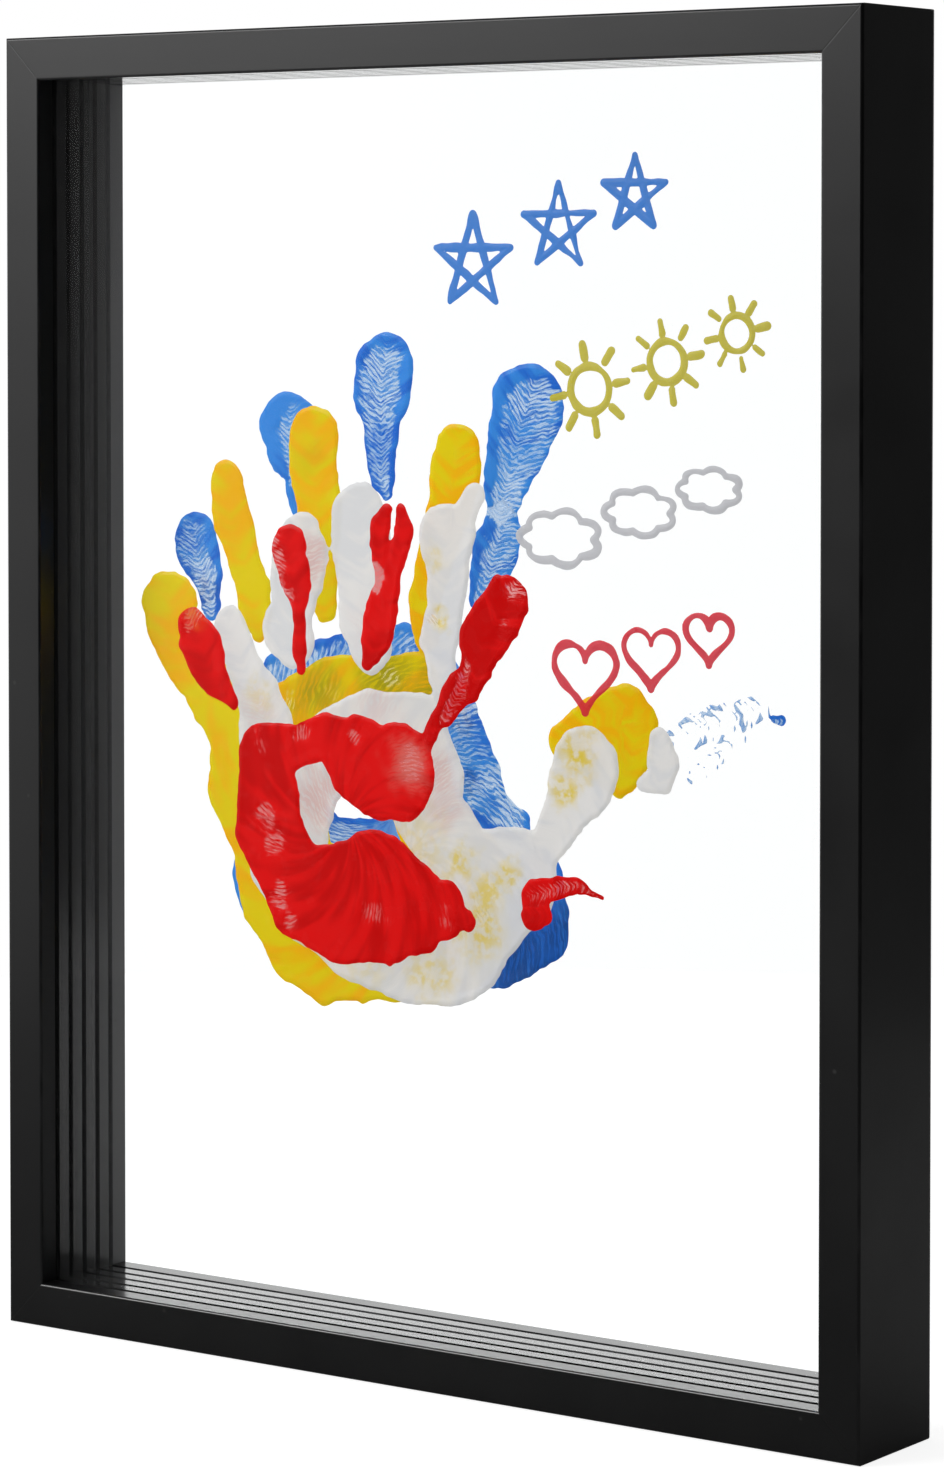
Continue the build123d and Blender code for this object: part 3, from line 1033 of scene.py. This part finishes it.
# %% Strokes of the white hand
hands["white"] = {
    "little": (0.45, 0.3, (
        (-79, 19, 6.3), (-76, 13, 6.4), (-73, 6, 6.6), (-68, -2, 8.6), (-65, -9, 9.5),
    )),
    "ring": (0.2, 0.0, (
        (-52, 47, 7), (-53, 41, 10.4), (-54, 34, 10), (-55, 26, 8.2), (-57, 19, 9.6), (-55, 16, 8.2),
    )),
    "middle": (0.1, 0.0, (
        (-31, 53, 9.8), (-30, 46, 11), (-28, 35, 10.5), (-28, 23, 10.2), (-27, 16, 8), (-27, 12, 4.7),
    )),
    "index": (0.2, 0.0, (
        (0, 48, 9.8), (1, 36, 7.1), (0, 27, 7.1), (-2, 18, 7.1), (-1, 10, 5), (-1, 2, 2.8),
    )),
    "index_tip": (0.3, 0.0, ((10, 60, 3.9), (7, 55, 4.6), (2, 49, 8))),
    "thumb": (0.3, 0.0, ((34, -41, 5), (42, -29, 7.5), (47, -20, 11.3), (49, -15, 11.3))),
    "thumb_smear": (0.3, 0.0, ((74, -6, 3), (75, -13, 5), (74, -17, 4), (68, -19, 2))),
    "palm_left": (0.2, 0.0, ((-66, -12, 9.5), (-62, -30, 13), (-58, -48, 14.5), (-48, -60, 14.5))),
    "palm_top": (0.2, 0.0, (
        (-53, -38, 11), (-50, -24, 13), (-38, -13, 11), (-26, -8, 11), (-10, -9, 11.5), (-7, -20, 12.5),
    )),
    "palm_right": (0.3, 0.0, ((-7, -20, 12.5), (-6, -32, 12.5), (8, -47, 12.5), (24, -49, 14.5))),
    "palm_heel": (0.45, 0.0, (
        (-48, -60, 14), (-32, -66, 17), (-12, -67, 21), (0, -66, 21.5), (24, -49, 14.5),
    )),
}
print("white strokes:", len(hands["white"]))

# %% Strokes of the yellow hand
hands["yellow"] = {
    "little": (0.05, 0.0, (
        (-107, 24, 10.6), (-106, 18, 10), (-103, 12, 9.5), (-96, 4, 9.5), (-90, -2, 9.5),
    )),
    "ring": (0.05, 0.0, (
        (-85, 62, 6.1), (-83, 51, 7.2), (-78, 38, 5.9), (-75, 30, 6.8), (-74, 22, 5.7), (-73, 17, 2.5),
    )),
    "middle": (0.05, 0.0, (
        (-52, 76, 8.9), (-52, 66, 8.9), (-50, 54, 8.2), (-49, 39, 5.8), (-48, 26, 4.3),
    )),
    "index": (0.1, 0.0, (
        (0, 73, 7.6), (-1, 67, 9.2), (-2, 59, 8.2), (-9, 39, 6.4), (-12, 29, 5.8), (-11, 19, 5),
    )),
    "thumb": (0.1, 0.0, (
        (37, -9, 5.2), (46, -3, 6.2), (58, 2, 6.4), (62, -2, 6.8), (61, -10, 6.2), (58, -18, 4.8),
        (56, -23, 1.9),
    )),
    "thumb_pad": (0.2, 0.0, ((42, -14, 8), (51, -10, 9), (53, -18, 5))),
    "palm_side": (0.12, 0.0, (
        (-90, -2, 9.5), (-83, -16, 8.5), (-80, -29, 12.5), (-71, -46, 12), (-68, -62, 12), (-62, -77, 8),
    )),
    "palm_top": (0.15, 0.0, ((-74, -14, 13), (-60, -7, 11), (-42, 0, 12), (-28, -1, 12), (-17, 3, 11))),
    "palm_right": (0.1, 0.0, (
        (-17, 2, 10.5), (-15, -14, 11.2), (-13, -30, 11.4), (0, -51, 17.6), (-1, -63, 18.4),
    )),
    "palm_heel": (0.1, 0.0, (
        (-62, -77, 8), (-48, -82, 10), (-34, -76, 14), (-18, -72, 16.5), (-1, -66, 18),
    )),
    "palm_middle": (0.1, 0.0, (
        (-46, -12, 12), (-62, -32, 12), (-56, -52, 12), (-40, -63, 15), (-20, -60, 15),
    )),
}
print("yellow strokes:", len(hands["yellow"]))

# %% Strokes of the blue hand
hands["blue"] = {
    "little": (1.0, 0.25, (
        (-102, 44, 8.2), (-101, 39, 8.3), (-98, 33, 6.2), (-96, 25, 3.8), (-96, 22, 2.3),
    )),
    "ring": (0.9, -0.6, ((-66, 77, 11.5), (-66, 72, 9), (-66, 67, 5), (-66, 62, 2))),
    "ring_end": (0.1, 0.0, ((-66, 59, 1.4), (-64, 53, 1.2))),
    "middle": (1.0, 0.2, (
        (-31, 96, 10.6), (-32, 88, 10.2), (-32, 79, 6.5), (-32, 71, 5.7), (-32, 64, 4.8), (-30, 59, 2),
    )),
    "index": (1.0, -0.25, ((20, 85, 13), (18, 79, 11.4), (14, 67, 9.1), (12, 61, 7))),
    "index_gap": (1.05, 0.0, ((12, 61, 4.5), (10.5, 50, 5))),
    "index_low": (0.9, -0.25, ((11, 48.5, 7.2), (9, 44, 8.6), (7, 37, 7.1), (2, 29, 3))),
    "thumb_streak": (1.6, 0.0, ((71, -8, 4.4), (81, -3, 5), (91, 0, 4.9), (98, 3, 3.8))),
    "thumb_drops": (1.6, 0.0, ((77, -18, 2.3), (84, -12, 3.2), (91, -6, 3.2))),
    "thumb_dot": (0.9, 0.3, ((104, 0, 1), (106, 0, 1.5))),
    "palm_top": (0.95, 0.0, ((-70, 4, 7), (-46, 11, 6), (-24, 15, 6.5), (-12, 8, 7))),
    "palm_side": (1.0, -0.45, ((-8, 4, 7), (-3, -12, 9), (0, -22, 11), (6, -31, 8), (16, -35, 5))),
    "palm_middle": (0.9, -0.2, ((-72, -36, 14), (-50, -44, 7), (-34, -42, 5), (-12, -34, 12))),
    "palm_heel": (0.1, 0.0, (
        (-71, -57, 17), (-46, -66, 17), (-8, -68, 17), (8, -68, 15), (20, -62, 15.3), (24, -50, 9),
    )),
}
palm_middles = {"red": (-30, -36), "white": (-12, -44), "yellow": (-36, -42), "blue": (-28, -36)}
print("blue strokes:", len(hands["blue"]))

# %% [markdown]
# ## Scuffs, stains and feathers
#
# Skin that slid a little as the hand lifted left scuffs, where the film is thin and the sheets behind show
# through. Where two colours touched, paint of one got into the other: stains follow the ridges, such as
# pink in the white and green in the yellow, and feathers are a grainy second colour, such as yellow in the
# white. All are round spots that noise breaks up: place across and up, radius in millimetres, and strength.

# %% Spots where the film is thin, and spots of other colours
hand_scuffs = {
    "red": (
        (-8, -17, 10, 0.88), (-60, -36, 7, 0.85), (-57, -44, 6, 0.85), (-55, -60, 8, 0.9),
        (-52, -68, 6, 0.9), (5, -60, 5, 0.7), (-47, -11, 5, 0.8), (-28, -11, 5, 0.8), (-20, -62, 8, 0.72),
        (-63, -14, 5, 0.75), (28, 34, 8, 0.95), (25, 25, 4, 0.8), (-88, 22, 7, 0.9), (-19, 37, 4, 0.85),
        (-56, 46, 7, 1.0), (-56, 40, 7, 1.0), (-55, 34, 6, 1.0), (-53.5, 29, 5, 1.0),
    ),
    "white": (
        (50, -9, 6, 0.9), (-3, 24, 4, 0.8), (-5, 54, 4, 0.8), (-66, -62, 6, 0.8), (13, -60, 9, 0.7),
    ),
    "yellow": (
        (-62, -3, 6, 0.7), (-46, 1, 6, 0.6), (-24, 7, 8, 0.7), (-66, -81, 5, 0.6), (-112, 28, 4, 0.4),
    ),
    "blue": (),
}
hand_stains = {
    "red": ((-8, -17, 11, 0.8),),
    "white": (
        (-46, -30, 14, 0.8), (-3, -20, 10, 0.6), (0, -32, 10, 0.5), (-48, 40, 9, 0.75),
        (-68, -6, 10, 0.3), (-24, 0, 12, 0.35), (-28, 22, 9, 0.2),
    ),
    "yellow": (
        (-50, 0, 16, 0.8), (-26, 6, 16, 0.9), (-8, 2, 14, 0.9), (-52, 70, 9, 0.2), (-18, -84, 10, 0.5),
    ),
    "blue": ((18, -74, 26, 1.0), (0, -80, 22, 1.0), (30, -66, 18, 1.0)),
}
hand_feathers = {
    "red": ((-88, 24, 7, 0.5),),
    "white": (
        (47, -12, 11, 1.0), (42, -22, 8, 1.0), (6, -45, 9, 0.8), (15, -54, 10, 0.8), (23, -49, 6, 0.8),
        (12, -64, 14, 0.85), (-5, -78, 13, 0.65), (-11, -42, 20, 0.4), (-30, -74, 18, 0.3),
        (-52, -77, 14, 0.5), (-2, 24, 4, 0.9), (-4, 42, 5, 0.5), (-66, 0, 8, 0.3),
    ),
    "yellow": ((-70, -40, 16, 0.5), (-16, 36, 12, 0.4)),
    "blue": ((-2, -6, 9, 0.7), (0, -22, 7, 0.6), (-98, 28, 8, 0.5)),
}
print("scuffs:", {colour: len(spots) for colour, spots in hand_scuffs.items()})
print("stains:", {colour: len(spots) for colour, spots in hand_stains.items()})
print("feathers:", {colour: len(spots) for colour, spots in hand_feathers.items()})

# %% The field of spots
spot_wander = 2.6
spot_waves = 5


def spot_field(across, up, spots, heart_share, seed):
    """How strongly the spots show, from 0 to 1: full over their heart share, then fading to their edge."""
    field = np.zeros(across.shape)
    wander = spot_wander * layered_noise(across, up, spot_waves, seed)
    for x, z, size, strength in spots:
        away = np.hypot(across - x, up - z) + wander
        field = np.maximum(field, strength * smooth_step(size, heart_share * size, away))
    return field


print("spot edges wander by", spot_wander, "mm")

# %% Values for the field of a hand
# Lengths are in millimetres, waves are wave lengths of noise, and shares are parts of the full film.
wobble = 0.6
wobble_waves = 7
fray_share = 0.4
fray_waves = 1.9
crease_fill = 2.5
rim_width = 1.2
bead_width = 2.4
bead_crest = 0.6
bead_share = 0.15
swell_waves = 22
swell_share = 0.14
widest_pad = 13
palm_turn = 30
comb_slant = 0.6
comb_pitch = 1.5
comb_length = 7
comb_shift = 0.22
ragged_waves = 5
ragged_shift = 0.16
thinning = (0.02, 0.50)
patch_waves = 15
patch_limits = (-0.55, 0.25)
patch_share = 0.2
smear_dryness = (1.0, 1.05)
smear_loss = 0.40
broken_dryness = (1.2, 1.5)
streak_limit = 0.76
streak_slope = 3
scuff_heart = 0.15
groove_share = 0.08
bare_share = 0.9
ridge_share = 0.30
least_relief = 0.03
print("outlines wander by", wobble, "mm, and ridges are", comb_pitch, "mm apart")

# %% The field of one hand
def hand_field(across, up, strokes, scuffs, palm_middle, seed):
    """Edge distance, relief from 0 to 1, and the marks that the paint material reads."""
    edge = np.full(across.shape, np.inf)
    kept = None
    angle = np.arctan2(up - palm_middle[1], across - palm_middle[0])
    radius = np.hypot(across - palm_middle[0], up - palm_middle[1])
    for name, (dryness, lean, pads) in strokes.items():
        distance, place, side, width = stroke_field(across, up, pads)
        leaning = lean * side / width
        if name.startswith("palm"):
            place = angle * palm_turn
            side = radius
        edge = smooth_join(edge, distance, crease_fill)
        kept = take_nearer([distance, place, side, width, np.full_like(distance, dryness), leaning], kept)
    _, along, beside, reach, dry, leaning = kept
    edge = edge + wobble * layered_noise(across, up, wobble_waves, seed)
    edge = edge + fray_share * wobble * lattice_noise(across / fray_waves, up / fray_waves, seed + 9)
    inside = np.maximum(-edge, 0)
    rim = smooth_step(0, rim_width, inside)
    depth_in = inside / np.minimum(reach, widest_pad) + leaning
    slant = along + comb_slant * np.abs(beside)
    comb = 1 - np.abs(lattice_noise(slant / comb_pitch, beside / comb_length, seed + 30))
    ragged = ragged_shift * layered_noise(across, up, ragged_waves, seed + 50)
    passage = depth_in + ragged + comb_shift * (comb - 0.5)
    smeared = smooth_step(*smear_dryness, dry)
    heart = np.maximum(smooth_step(*thinning, passage), smeared)
    patch = smooth_step(*patch_limits, layered_noise(across, up, patch_waves, seed + 20))
    broken = smooth_step(*broken_dryness, dry) * (streak_limit - comb) * streak_slope
    edge = np.where(dry > broken_dryness[0], np.maximum(edge, broken), edge)
    bare = np.minimum(dry, 1) * heart * (1 - patch_share + patch_share * patch)
    bare = np.maximum(bare, spot_field(across, up, scuffs, scuff_heart, seed + 70))
    swell = 1 - swell_share + swell_share * layered_noise(across, up, swell_waves, seed + 40)
    bead = smooth_step(bead_width, bead_crest, inside)
    film = np.clip(swell + bead_share * bead, 0, 1) * (1 - smear_loss * smeared)
    grooves = groove_share * heart * (1 - comb) * (1 - bare)
    relief = rim * (film * (1 - bare_share * bare) - grooves) + ridge_share * bare * comb**3
    marks = {"film": film, "bare": bare, "slant": slant, "beside": beside}
    return edge, np.clip(relief, least_relief, 1), marks


print("hand field ready")

# %% Four films of paint
paint_pitch = 0.7
paint_height = 0.36 * mm
margin = 3.0
tint_heart = 0.1


def grid_round(pads, pitch):
    """Square grid of points, in millimetres from the middle of the sheet, with room round all pads."""
    pads = np.array(pads)
    reach = pads[:, 2] + margin
    low = (pads[:, :2] - reach[:, None]).min(axis=0)
    high = (pads[:, :2] + reach[:, None]).max(axis=0)
    return np.meshgrid(np.arange(low[0], high[0], pitch), np.arange(low[1], high[1], pitch))


def place_film(name, colour, across, up, edge, relief, marks, material):
    """Put a film of paint on the front of one sheet, riding with its layer."""
    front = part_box(f"{colour}_sheet")[0].y
    made = film_mesh(name, across * mm, up * mm + middle.z, edge, relief, marks, front, paint_height)
    made.data.materials.append(material)
    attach(made, f"{colour}_layer")
    print(made.name, "faces:", len(made.data.polygons))
    return made


for seed, (colour, strokes) in enumerate(hands.items()):
    every_pad = [pad for _, _, pads in strokes.values() for pad in pads]
    across, up = grid_round(every_pad, paint_pitch)
    hand_seed = 100 * (seed + 1)
    edge, relief, marks = hand_field(
        across, up, strokes, hand_scuffs[colour], palm_middles[colour], hand_seed
    )
    marks["stain"] = spot_field(across, up, hand_stains[colour], tint_heart, hand_seed + 60)
    marks["feather"] = spot_field(across, up, hand_feathers[colour], tint_heart, hand_seed + 80)
    hand = place_film(f"{colour}_hand_paint", colour, across, up, edge, relief, marks, paints[colour])
    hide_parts(f"{colour}_handprint")

# %% [markdown]
# ## Pen drawings
#
# Beside each hand runs a short row of small line drawings in a marker of the same colour: stars, suns,
# clouds and hearts. A pen line is a stroke with an even radius, so the same field makes its film. The
# drawings get smaller along each row, and their lines thinner.

# %% Shapes drawn with one line
outline_points = 64
star_step = math.radians(144)
sun_rays = 8
sun_turn = 0.2
sun_ring = 0.5
ray_start = 0.7
cloud_body = 0.82
cloud_bulge = 0.18
cloud_rise = 0.55
heart_size = 16
heart_waves = ((1, 13), (2, -5), (3, -2), (4, -1))


def around(x, z, size, shape):
    """Points along a closed outline: shape gives across and up, in sizes, for an angle."""
    outline = [shape(angle) for angle in np.linspace(0, 2 * math.pi, outline_points)]
    return [(x + size * across_part, z + size * up_part) for across_part, up_part in outline]


def star(x, z, size):
    """A five-pointed star drawn without lifting the pen."""
    corners = [math.pi / 2 + point * star_step for point in range(6)]
    return [[(x + size * math.cos(angle), z + size * math.sin(angle)) for angle in corners]]


def sun(x, z, size):
    """A ring with rays."""
    lines = [around(x, z, sun_ring * size, lambda angle: (math.cos(angle), math.sin(angle)))]
    for ray in range(sun_rays):
        angle = ray * 2 * math.pi / sun_rays + sun_turn
        ends = (ray_start * size, size)
        lines.append([(x + end * math.cos(angle), z + end * math.sin(angle)) for end in ends])
    return lines


def cloud(x, z, size):
    """A flat outline with seven bulges."""
    def bulged(angle):
        reach = cloud_body + cloud_bulge * abs(math.sin(3.5 * angle))
        return reach * math.cos(angle), cloud_rise * reach * math.sin(angle)
    return [around(x, z, size, bulged)]


def heart(x, z, size):
    """A heart from one turn of a few waves."""
    def curve(angle):
        rise = sum(height * math.cos(turns * angle) for turns, height in heart_waves)
        return math.sin(angle) ** 3, rise / heart_size
    return [around(x, z, size, curve)]


print("star lines:", len(star(0, 0, 1)), "sun lines:", len(sun(0, 0, 1)))

# %% Inks and rows
ink_colours = {
    "red": ((0.72, 0.020, 0.045, 1), (0.80, 0.12, 0.15, 1)),
    "white": ((0.58, 0.58, 0.61, 1), (0.72, 0.72, 0.75, 1)),
    "yellow": ((0.58, 0.50, 0.03, 1), (0.70, 0.64, 0.12, 1)),
    "blue": ((0.02, 0.20, 0.68, 1), (0.10, 0.38, 0.78, 1)),
}
inks = {
    colour: make_paint(
        f"{colour}_marker", Cover=0.95, Thin_Cover=0.5,
        Thick=deep, Thin=pale, Warm=deep, Mark=deep, Feather_Colour=deep,
    )
    for colour, (deep, pale) in ink_colours.items()
}
rows = {
    "red": ("heart_row", heart, ((53, 12, 10.5), (75, 18, 9), (94, 24, 7.5))),
    "white": ("cloud_row", cloud, ((40, 49, 14), (67, 57, 12), (90, 64, 10.5))),
    "yellow": ("sun_row", sun, ((46, 91, 13), (72, 99, 11.5), (95, 107, 10))),
    "blue": ("star_row", star, ((1, 127, 14), (31, 137, 12.5), (57, 146, 11))),
}
print("inks:", sorted(inks), "drawings:", sum(len(places) for _, _, places in rows.values()))

# %% Four rows of drawings
ink_pitch = 0.4
line_radius = 1.15
least_radius = 0.5
pen_wobble = 0.35
pen_waves = 5
ink_waves = 4
ink_film = 0.75
ink_drift = 0.2
ink_relief = 0.5
line_rim = 0.9

for seed, (colour, (row_name, shape, places)) in enumerate(rows.items()):
    lines = []
    for x, z, size in places:
        radius = line_radius * (least_radius + (1 - least_radius) * size / places[0][2])
        lines += [[(px, pz, radius) for px, pz in line] for line in shape(x, z, size)]
    across, up = grid_round([pad for line in lines for pad in line], ink_pitch)
    kept = None
    for line in lines:
        kept = take_nearer(stroke_field(across, up, line), kept)
    edge, along, beside, _ = kept
    edge = edge + pen_wobble * layered_noise(across, up, pen_waves, 900 + seed, layers=2)
    film = ink_film + ink_drift * lattice_noise(across / ink_waves, up / ink_waves, 950 + seed)
    marks = {"film": film, "slant": along, "beside": beside}
    for mark in ("bare", "stain", "feather"):
        marks[mark] = np.zeros(across.shape)
    relief = ink_relief * film * smooth_step(0, line_rim, -edge)
    place_film(f"{colour}_{row_name}", colour, across, up, edge, relief, marks, inks[colour])

# %% [markdown]
# ## Sizes and the end
#
# The box of the imported model and the box of the dressed one are printed side by side, so that any
# change of size by the looks shows.

# %% Print both boxes and finish
seen_low, seen_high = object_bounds()
boxes = {
    "cad": [list(cad_low), list(cad_high)],
    "visual": [list(seen_low), list(seen_high)],
}
for name, box in boxes.items():
    print(name, "box in mm:", [[round(value / mm, 2) for value in corner] for corner in box])
